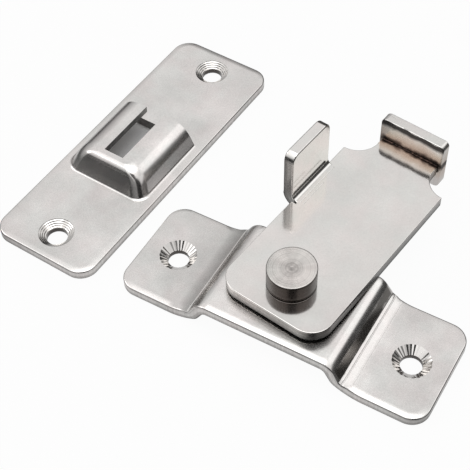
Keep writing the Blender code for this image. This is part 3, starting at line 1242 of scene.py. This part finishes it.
def new_group(name, **sockets):
    """Empty node group that reads a Vector and the given sockets; tree and inputs."""
    tree = bpy.data.node_groups.new(name, "ShaderNodeTree")
    tree.interface.new_socket(name="Vector", in_out="INPUT", socket_type="NodeSocketVector")
    for label, value in sockets.items():
        kind, value = value if isinstance(value, tuple) else ("Float", value)
        socket = tree.interface.new_socket(
            name=label, in_out="INPUT", socket_type="NodeSocket" + kind
        )
        socket.default_value = value
    return tree, tree.nodes.new("NodeGroupInput").outputs


def give_out(tree, **results):
    """Makes the group's output sockets and connects them."""
    for label in results:
        kind = "NodeSocketColor" if label == "Color" else "NodeSocketFloat"
        tree.interface.new_socket(name=label, in_out="OUTPUT", socket_type=kind)
    end = tree.nodes.new("NodeGroupOutput")
    for label, socket in results.items():
        tree.links.new(socket, end.inputs[label])
    print("group", tree.name, "has", len(tree.nodes), "nodes")


def use_group(tree, group, **inputs):
    return add_node(tree, "Group", inputs, node_tree=group).outputs


# %% [markdown]
# ### Satin sheet
# Rolled sheet is never even: soft cloudy patches where it was wiped, a fine
# grain from the rollers, and stray scratches from the tumbling drum.  The
# patches change colour and roughness, the grain and scratches also the bump.

# %% Group: satin sheet
satin, given = new_group(
    "satin_sheet", Steel=GREY_STEEL, Clouds=0.06, Roughness=0.25, Scratches=0.5
)
space = given["Vector"]
clouds = noise(satin, space, 75, 3.0, 0.6)
grain = noise(satin, space, 2400)
scratches = [
    remap(
        satin,
        noise(satin, squeezed(satin, centred(satin, space, (0, 0, 0), turn), (60, 2600, 60)), 1, 1),
        0.66, 0.74, 0.0, 1.0,
    )
    for turn in (0.5, 1.9, 2.7)
]
lines = product(satin, calc(satin, "MAXIMUM", *scratches), given["Scratches"])
shade = total(
    satin,
    sway(satin, clouds, product(satin, given["Clouds"], 3.2)),
    sway(satin, grain, product(satin, given["Clouds"], 1.5)),
    1.0,
    product(satin, lines, -0.10),
)
drift = ramp(
    satin, noise(satin, space, 140), (0.35, (0.985, 1.0, 0.995)), (0.65, (1.0, 0.975, 0.975))
)
give_out(
    satin,
    Color=tinted(satin, given["Steel"], tinted(satin, grey(satin, shade), drift)),
    Roughness=total(
        satin, given["Roughness"], sway(satin, clouds, 0.16), product(satin, lines, 0.12)
    ),
    Height=calc(satin, "SUBTRACT", product(satin, grain, 0.4), lines),
)

# %% [markdown]
# ### Sheared sides
# Going down a punched side there is a rounded rim, a burnished band with fine
# upright streaks, a duller torn band, and a dark line where the burr starts.
# The depth attribute gives the band, and a noise stretched along Z the streaks.

# %% Group: sheared side
sheared, given = new_group(
    "sheared_side", Depth=0.0, Color=GREY_STEEL, Roughness=0.25, Height=0.0, Tone=1.0
)
space = given["Vector"]
share = total(
    sheared,
    calc(sheared, "DIVIDE", given["Depth"], SHEET),
    sway(sheared, noise(sheared, space, 420), 0.10),
)
inside = product(
    sheared,
    remap(sheared, given["Depth"], 0.00032, 0.0006, 0.0, 1.0),
    remap(sheared, given["Depth"], 0.0028, 0.0030, 1.0, 0.4),
)
bands = ramp(
    sheared, share,
    (0.0, 1.0), (0.14, 1.0), (0.19, 0.66), (0.25, 0.98),
    (0.52, 1.0), (0.62, 0.78), (0.80, 0.70), (0.90, 0.26),
)
streaks = noise(sheared, squeezed(sheared, space, (1500, 1500, 110)), 1, 3, 0.6)
bands = tinted(sheared, bands, ramp(sheared, streaks, (0.30, 0.78), (0.62, 1.0)))
# Tone scales the whole cut side: below one it is a painted shade, above one a painted light.
bands = add_node(sheared, "VectorMath", {0: bands, "Scale": given["Tone"]}, operation="SCALE")
sided = tinted(sheared, given["Color"], bands.outputs[0])
torn = remap(sheared, share, 0.5, 0.62, 0.10, 0.24)
give_out(
    sheared,
    Color=mix_colors(sheared, inside, given["Color"], sided),
    Roughness=total(sheared, given["Roughness"], product(sheared, inside, torn)),
    Height=total(sheared, given["Height"], product(sheared, streaks, inside, 2.5)),
)

# %% [markdown]
# ### Turning rings
# A lathe leaves rings round the axis.  The distance from the pin's axis, read
# by a noise in one dimension, gives rings of uneven width; on the side the
# height above the base does the same.

# %% Group: turning rings
RINGS_PER_METRE = 2600.0

turned, given = new_group("turning_rings")
travel = total(
    turned,
    from_z_axis(turned, given["Vector"]),
    axes(turned, given["Vector"])[2],
    product(turned, noise(turned, given["Vector"], 240), 0.00008),
)
rings = add_node(
    turned, "TexNoise", {"W": travel, "Scale": RINGS_PER_METRE, "Detail": 3.0},
    noise_dimensions="1D",
)
give_out(turned, Rings=rings.outputs["Fac"])

# %% [markdown]
# ### Heat tint
# Steel that was heated by a weld turns straw, then brown, then blue, and near
# black at the seam.  The input is the distance from the seam, made uneven.

# %% Group: heat tint
heat, given = new_group("heat_tint", Distance=0.0, Reach=0.004, Color=GREY_STEEL)
share = total(
    heat,
    calc(heat, "DIVIDE", given["Distance"], given["Reach"]),
    sway(heat, noise(heat, given["Vector"], 260, 3.0), 0.9),
)
tint = ramp(
    heat, share,
    (0.0, (0.10, 0.085, 0.08)), (0.12, (0.36, 0.30, 0.27)), (0.24, (0.80, 0.72, 0.66)),
    (0.60, (0.90, 0.83, 0.77)), (1.0, (1.0, 1.0, 1.0)),
)
give_out(
    heat,
    Color=tinted(heat, given["Color"], tint),
    Soot=remap(heat, share, 0.05, 0.25, 1.0, 0.0),
)

# %% [markdown]
# ### The steels
# Each steel starts as a new material whose Principled shader is fully metallic.
# Colour, roughness and bump come from the groups.

# %% Start and end of a steel
STEEL = (0.71, 0.69, 0.67, 1)
BUMP_STRENGTH = 0.35


def start_steel(name):
    material = bpy.data.materials.new(name)
    material.use_nodes = True
    tree = material.node_tree
    tree.nodes["Principled BSDF"].inputs["Metallic"].default_value = 1.0
    return material, tree, object_space(tree)


def finish_steel(tree, color, roughness, height, distance):
    """Connects colour, roughness and bump to the shader."""
    shader = tree.nodes["Principled BSDF"]
    bump = add_node(
        tree, "Bump", {"Height": height, "Strength": BUMP_STRENGTH, "Distance": distance}
    )
    tree.links.new(color, shader.inputs["Base Color"])
    tree.links.new(roughness, shader.inputs["Roughness"])
    tree.links.new(bump.outputs[0], shader.inputs["Normal"])


def dress(item, material):
    item.data.materials.clear()
    item.data.materials.append(material)


def read(tree, label):
    """Reads an attribute that write_corners stored."""
    return add_node(tree, "Attribute", attribute_name=label).outputs["Fac"]


def satin_look(tree, space, steel, clouds, roughness, scratches):
    return use_group(
        tree, satin,
        Vector=space, Steel=steel, Clouds=clouds, Roughness=roughness, Scratches=scratches,
    )


def sheared_look(tree, space, color, look, tone):
    """Cut sides over a sheet's look."""
    return use_group(
        tree, sheared,
        Vector=space, Depth=read(tree, "depth"), Color=color,
        Roughness=look["Roughness"], Height=look["Height"], Tone=tone,
    )


# %% [markdown]
# The two plates have a tumbled satin finish.  The base's folds carry painted
# shade: a soft grey painted shade on the left wing where it climbs to the
# crease, and a dark painted reflection on both slopes, which ends just short of
# the sheet's edges.  The countersinks are bare cut metal and the bores are
# painted dark as shade.

# %% Plate steel
PLATE_TONE = (0.67, 0.65, 0.635, 1)
PAINTED_FOLD_DARK = (0.14, 0.13, 0.12, 1)
CUT_METAL = (0.66, 0.64, 0.62, 1)
BORE_SHADE = (0.10, 0.09, 0.085, 1)
HALF_EDGE = BASE_WIDTH / 2

plate_steel, tree, space = start_steel("plate_steel")
sheet_look = satin_look(tree, space, PLATE_TONE, 0.17, 0.20, 0.2)
pin_x, pin_y, _ = axes(tree, centred(tree, space, PIVOT))
left_x = total(tree, pin_x, sway(tree, noise(tree, space, 130), 0.008))
# Painted shade: the left wing darkens where it climbs to the crease.
left_wing_shade = product(
    tree,
    remap(tree, left_x, -0.041, -crease_x, 0.0, 1.0),
    remap(tree, left_x, -crease_x + 0.0005, -slope_x, 1.0, 0.0),
)
left_wing_shade = product(tree, left_wing_shade, left_wing_shade, remap(tree, pin_y, -0.018, 0.012, 0.10, 0.34))
# Painted dark reflection on both slopes, fading out just short of the sheet's edges.
wavering = sway(tree, noise(tree, space, 260), 0.0012)
from_middle = calc(tree, "ABSOLUTE", total(tree, pin_x, wavering))
reaching_up = total(tree, from_middle, remap(tree, pin_x, -0.001, 0.001, 0.0012, 0.0))
slope_painted_reflection = product(
    tree,
    remap(tree, reaching_up, slope_x - 0.0006, slope_x + 0.0001, 0.0, 1.0),
    remap(tree, from_middle, crease_x - 0.0001, crease_x + 0.0002, 1.0, 0.0),
    remap(tree, pin_x, -0.001, 0.001, 0.86, 0.90),
    remap(
        tree, calc(tree, "ABSOLUTE", pin_y), HALF_EDGE - 0.0009, HALF_EDGE - 0.0004, 1.0, 0.0
    ),
)
# Both painted darks, the shade and the reflection, are mixed into the sheet's colour here.
sheet_with_painted_dark = mix_colors(tree, calc(tree, "MAXIMUM", left_wing_shade, slope_painted_reflection), sheet_look["Color"], PAINTED_FOLD_DARK)
# The plates' cut sides are painted a little lighter (tone 1.2): painted light.
cut_look = sheared_look(tree, space, sheet_with_painted_dark, sheet_look, 1.2)
machined = read(tree, "machined")
color = mix_colors(tree, machined, cut_look["Color"], CUT_METAL)
# The bores' walls are painted dark: painted shade.
color = mix_colors(tree, read(tree, "bored"), color, BORE_SHADE)
roughness = mix_values(tree, machined, cut_look["Roughness"], 0.13)
finish_steel(tree, color, roughness, cut_look["Height"], 0.000008)
dress(keeper, plate_steel)
dress(base, plate_steel)

# %% [markdown]
# The lever is smoother, close to a mirror, and takes a breath of tan near the
# weld.  Its shaded side is darker, by the mark stored above.

# %% Lever steel
lever_steel, tree, space = start_steel("lever_steel")
sheet_look = satin_look(tree, space, STEEL, 0.09, 0.12, 0.15)
lever_x = axes(tree, centred(tree, space, LEVER_PLACE, LEVER_TURN))[0]
heated = use_group(
    tree, heat, Vector=space, Distance=calc(tree, "SUBTRACT", TONGUE_END, lever_x),
    Reach=0.003, Color=sheet_look["Color"],
)
# The lever's cut sides are painted at about half brightness (tone 0.52): painted shade.
cut_look = sheared_look(tree, space, heated["Color"], sheet_look, 0.52)
in_the_shade = remap(tree, read(tree, "shaded"), 0.0, 1.0, 1.0, 0.16)
color = tinted(tree, cut_look["Color"], grey(tree, in_the_shade))
finish_steel(tree, color, cut_look["Roughness"], cut_look["Height"], 0.00001)
dress(lever, lever_steel)

# %% [markdown]
# The hook plate was ground on a belt in two directions and then tinted by the
# weld: darkest along the seam at the tongue's height, straw above it.  Just
# under its upper edge, on the side of the lever, it is painted nearly black: a
# painted dark reflection.

# %% Hook steel
GROUND = ((2400, 2400, 160), (2400, 160, 2400))
HOOK_TOP_REFLECTION = (0.03, 0.026, 0.025, 1)

hook_steel, tree, space = start_steel("hook_steel")
along_lever = centred(tree, space, LEVER_PLACE, LEVER_TURN)
hatch = total(tree, *(noise(tree, squeezed(tree, along_lever, scale), 1, 3) for scale in GROUND))
sheet_look = satin_look(tree, space, STEEL, 0.10, 0.27, 0.6)
hook_x, _, hook_z = axes(tree, along_lever)
heated = use_group(
    tree, heat, Vector=space,
    Distance=calc(tree, "ABSOLUTE", calc(tree, "SUBTRACT", hook_z, SHEET)),
    Reach=0.0062, Color=sheet_look["Color"],
)
color = tinted(tree, heated["Color"], ramp(tree, hatch, (0.35, 0.70), (0.65, 1.0)))
# Painted dark reflection: a band just under the upper edge, on the lever's side.
below_top = total(
    tree,
    calc(tree, "SUBTRACT", HOOK_HIGH, hook_z),
    sway(tree, noise(tree, space, 330, 3.0), 0.0014),
)
band = product(
    tree,
    remap(tree, below_top, 0.0001, 0.0003, 0.0, 1.0),
    remap(tree, below_top, 0.0015, 0.0025, 1.0, 0.0),
    remap(tree, hook_x, HOOK_FACE + 0.0001, HOOK_FACE + 0.0004, 0.96, 0.0),
)
finish_steel(
    tree,
    mix_colors(tree, band, color, HOOK_TOP_REFLECTION),
    total(tree, sheet_look["Roughness"], product(tree, heated["Soot"], 0.2)),
    total(tree, hatch, sheet_look["Height"]),
    0.00002,
)
dress(hook, hook_steel)

# %% [markdown]
# The weld was not cleaned: scale, nearly black, with a few bright specks where
# it flaked off.  One noise drives both colour and roughness.

# %% Weld steel
weld_steel, tree, space = start_steel("weld_steel")
burnt = noise(tree, space, 900, 3.0)
color = ramp(
    tree, burnt,
    (0.40, (0.02, 0.016, 0.015)), (0.56, (0.07, 0.045, 0.038)),
    (0.66, (0.16, 0.10, 0.08)), (0.76, (0.5, 0.46, 0.43)),
)
roughness = remap(tree, burnt, 0.3, 0.7, 0.65, 0.35)
finish_steel(tree, color, roughness, noise(tree, space, 2200, 3.0), 0.00006)
dress(upper_bead, weld_steel)
dress(lower_bead, weld_steel)

# %% [markdown]
# The pin is bar steel, faced and turned and not polished.  Its side is
# painted near black: partly the bar's own darker steel, partly a painted dark
# reflection.  Its face is darker round the dimple and at the rim, and carries a
# painted sheen in light and dark sectors.  The washer is of the same steel.

# %% Pin steel
PIN_SIDE = (0.058, 0.048, 0.042, 1)
PIN_FACE = (0.64, 0.615, 0.59, 1)

pin_steel, tree, space = start_steel("pin_steel")
round_pin = centred(tree, space, PIVOT)
rings = use_group(tree, turned, Vector=round_pin)["Rings"]
on_top = read(tree, "faced")
# The side is painted near black: partly the bar's own darker steel, partly a painted dark
# reflection.
bare = mix_colors(tree, on_top, PIN_SIDE, PIN_FACE)
sheet_look = satin_look(tree, space, bare, 0.14, 0.28, 0.3)
color = tinted(tree, sheet_look["Color"], ramp(tree, rings, (0.3, 0.78), (0.65, 1.0)))
from_axis = from_z_axis(tree, round_pin)
ragged = total(tree, from_axis, sway(tree, noise(tree, space, 420, 3.0), 0.004))
outwards = vector_calc(tree, "NORMALIZE", squeezed(tree, round_pin, FLAT))
# Darker round the dimple and at the rim, with a painted sheen in light and dark sectors.
face_marks_and_sheen = color
for value, stops in (
    (calc(tree, "DIVIDE", ragged, PIN_R), ((0.0, 0.50), (0.14, 0.62), (0.32, 0.88), (0.52, 1.0))),
    (noise(tree, outwards, 1.6, 3.0), ((0.38, 0.84), (0.62, 1.0))),
    (calc(tree, "DIVIDE", from_axis, PIN_R), ((0.955, 1.0), (0.985, 0.30))),
):
    face_marks_and_sheen = tinted(tree, face_marks_and_sheen, ramp(tree, value, *stops))
color = mix_colors(tree, on_top, color, face_marks_and_sheen)
finish_steel(tree, color, sheet_look["Roughness"], rings, 0.00003)
dress(pin, pin_steel)
dress(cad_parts["spacer_washer"], pin_steel)
steels = (plate_steel, lever_steel, hook_steel, weld_steel, pin_steel)
print("steels:", ", ".join(steel.name for steel in steels))

# %% [markdown]
# ## Studio
# Polished steel shows its surroundings, so the surroundings are what is lit.
# The floor is white paper.  The camera sees it white; a mirroring surface sees
# it white far away, darker near the latch, and darkest in the gap between the
# two halves.  The paper under the keeper's hump stays plain, so that the slot
# shows a shadow.

# %% Floor
GAP_PLACE = (-0.006, 0.026, 0)
HUMP_SHADOW = (1 / 0.016, 1 / 0.012, 0)

bpy.ops.object.select_all(action="DESELECT")
bpy.ops.mesh.primitive_plane_add(size=6, location=(0, 0, -0.0002))
floor = bpy.context.object
floor.name = "paper_floor"
paper = bpy.data.materials.new("white_paper")
paper.use_nodes = True
tree = paper.node_tree
shader = tree.nodes["Principled BSDF"]
shader.inputs["Base Color"].default_value = (0.9, 0.9, 0.9, 1)
shader.inputs["Roughness"].default_value = 0.9
shader.inputs["Specular IOR Level"].default_value = 0.1
rays = add_node(tree, "LightPath").outputs
space = object_space(tree)
from_gap = from_z_axis(tree, centred(tree, space, GAP_PLACE))
mirrored = product(
    tree,
    remap(tree, length_of(tree, space), 0.066, 0.084, 0.68, 0.06, "SMOOTHSTEP"),
    remap(tree, from_gap, 0.011, 0.021, 0.12, 1.0, "SMOOTHSTEP"),
)
brightness = mix_values(tree, rays["Is Glossy Ray"], 1.0, mirrored)
glow = add_node(tree, "Emission", {"Color": (1, 1, 1, 1), "Strength": brightness})
seen = calc(
    tree, "MAXIMUM", rays["Is Camera Ray"], rays["Is Glossy Ray"], rays["Is Transmission Ray"]
)
from_hump = squeezed(tree, centred(tree, space, KEEPER_PLACE, KEEPER_TURN), HUMP_SHADOW)
share = product(tree, seen, remap(tree, length_of(tree, from_hump), 0.9, 1.1, 0.0, 0.95))
blend = add_node(tree, "MixShader", {0: share, 1: shader.outputs[0], 2: glow.outputs[0]})
tree.links.new(blend.outputs[0], tree.nodes["Material Output"].inputs["Surface"])
floor.data.materials.append(paper)

# %% [markdown]
# Overhead there is an even white sky, the room grows dark towards the horizon
# and behind the camera, and that is what draws the folds and the sides.  A grey
# wall on the left lights the left-hand folds, a bright window behind on the
# right draws the highlights of the right-hand ones, and a black flag draws a
# dark line down the hump's corner.  The room is darker towards the camera,
# which shapes the hump's closed end.  The camera sees white.

# %% World
BEHIND_CAMERA = (0.329, -0.537, 0.776)
BLACK_FLAG = (0.713, -0.557, 0.420)
RIGHT_WINDOW = (0.480, 0.540, 0.691)
ROOM_LEVELS = (
    (0.24, 0.05), (0.36, 0.22), (0.45, 0.62), (0.52, 0.74), (0.61, 0.68),
    (0.68, 0.70), (0.72, 0.62), (0.80, 0.86), (0.86, 1.0),
)
SKY_LEVEL = 1.40
SKY_TO_PAINT = 0.45

world = bpy.data.worlds.new("studio")
bpy.context.scene.world = world
world.use_nodes = True
tree = world.node_tree
direction = add_node(tree, "TexCoord").outputs["Generated"]
east, north, height = axes(tree, direction)


def patch(aim, low, high, to_low, to_high):
    """A round patch of the room: a value far from a direction, another near it."""
    towards = vector_calc(tree, "DOT_PRODUCT", direction, aim, "Value")
    return remap(tree, towards, low, high, to_low, to_high, "SMOOTHSTEP")


left_wall = product(
    tree,
    remap(tree, east, -0.35, -0.62, 0.0, 1.0, "SMOOTHSTEP"),
    remap(tree, height, 0.0, 0.60, 0.26, 0.60),
)
room = ramp(tree, calc(tree, "SUBTRACT", height, product(tree, north, 0.22)), *ROOM_LEVELS)
room = calc(tree, "MAXIMUM", room, left_wall, patch(RIGHT_WINDOW, 0.935, 0.975, 0.0, 1.0))
front = product(
    tree,
    remap(tree, north, -0.70, -0.84, 0.0, 1.0, "SMOOTHSTEP"),
    remap(tree, height, 0.50, 0.62, 1.0, 0.0),
)
sky = product(
    tree,
    room,
    SKY_LEVEL,
    remap(tree, height, 0.955, 0.990, 1.0, 0.74, "SMOOTHSTEP"),
    patch(BEHIND_CAMERA, 0.955, 0.985, 1.0, 0.03),
    patch(BLACK_FLAG, 0.930, 0.965, 1.0, 0.03),
    remap(tree, front, 0.0, 1.0, 1.0, 0.30),
)
rays = add_node(tree, "LightPath").outputs
strength = mix_values(tree, rays["Is Glossy Ray"], SKY_TO_PAINT, sky)
plain = calc(tree, "MAXIMUM", rays["Is Camera Ray"], rays["Is Transmission Ray"])
strength = mix_values(tree, plain, strength, 1.0)
background = tree.nodes["Background"]
background.inputs["Color"].default_value = (1, 1, 1, 1)
tree.links.new(strength, background.inputs["Strength"])
print("the world has", len(tree.nodes), "nodes")

# %% [markdown]
# Two large soft lamps, one overhead and one on the left, light what is not a
# mirror and give the floor its soft shadow.

# %% Lamps
def add_softbox(name, location, size, power):
    lamp = bpy.data.lights.new(name, "AREA")
    lamp.shape = "SQUARE"
    lamp.size = size
    lamp.energy = power
    item = bpy.data.objects.new(name, lamp)
    item.location = location
    item.rotation_euler = (-Vector(location)).to_track_quat("-Z", "Y").to_euler()
    bpy.context.scene.collection.objects.link(item)
    print(name, "radiance", round(power / (math.pi * size * size), 2))


add_softbox("overhead_softbox", (0.0, -0.05, 0.85), 0.65, 1.9)
add_softbox("side_softbox", (-0.75, -0.25, 0.60), 0.5, 1.2)
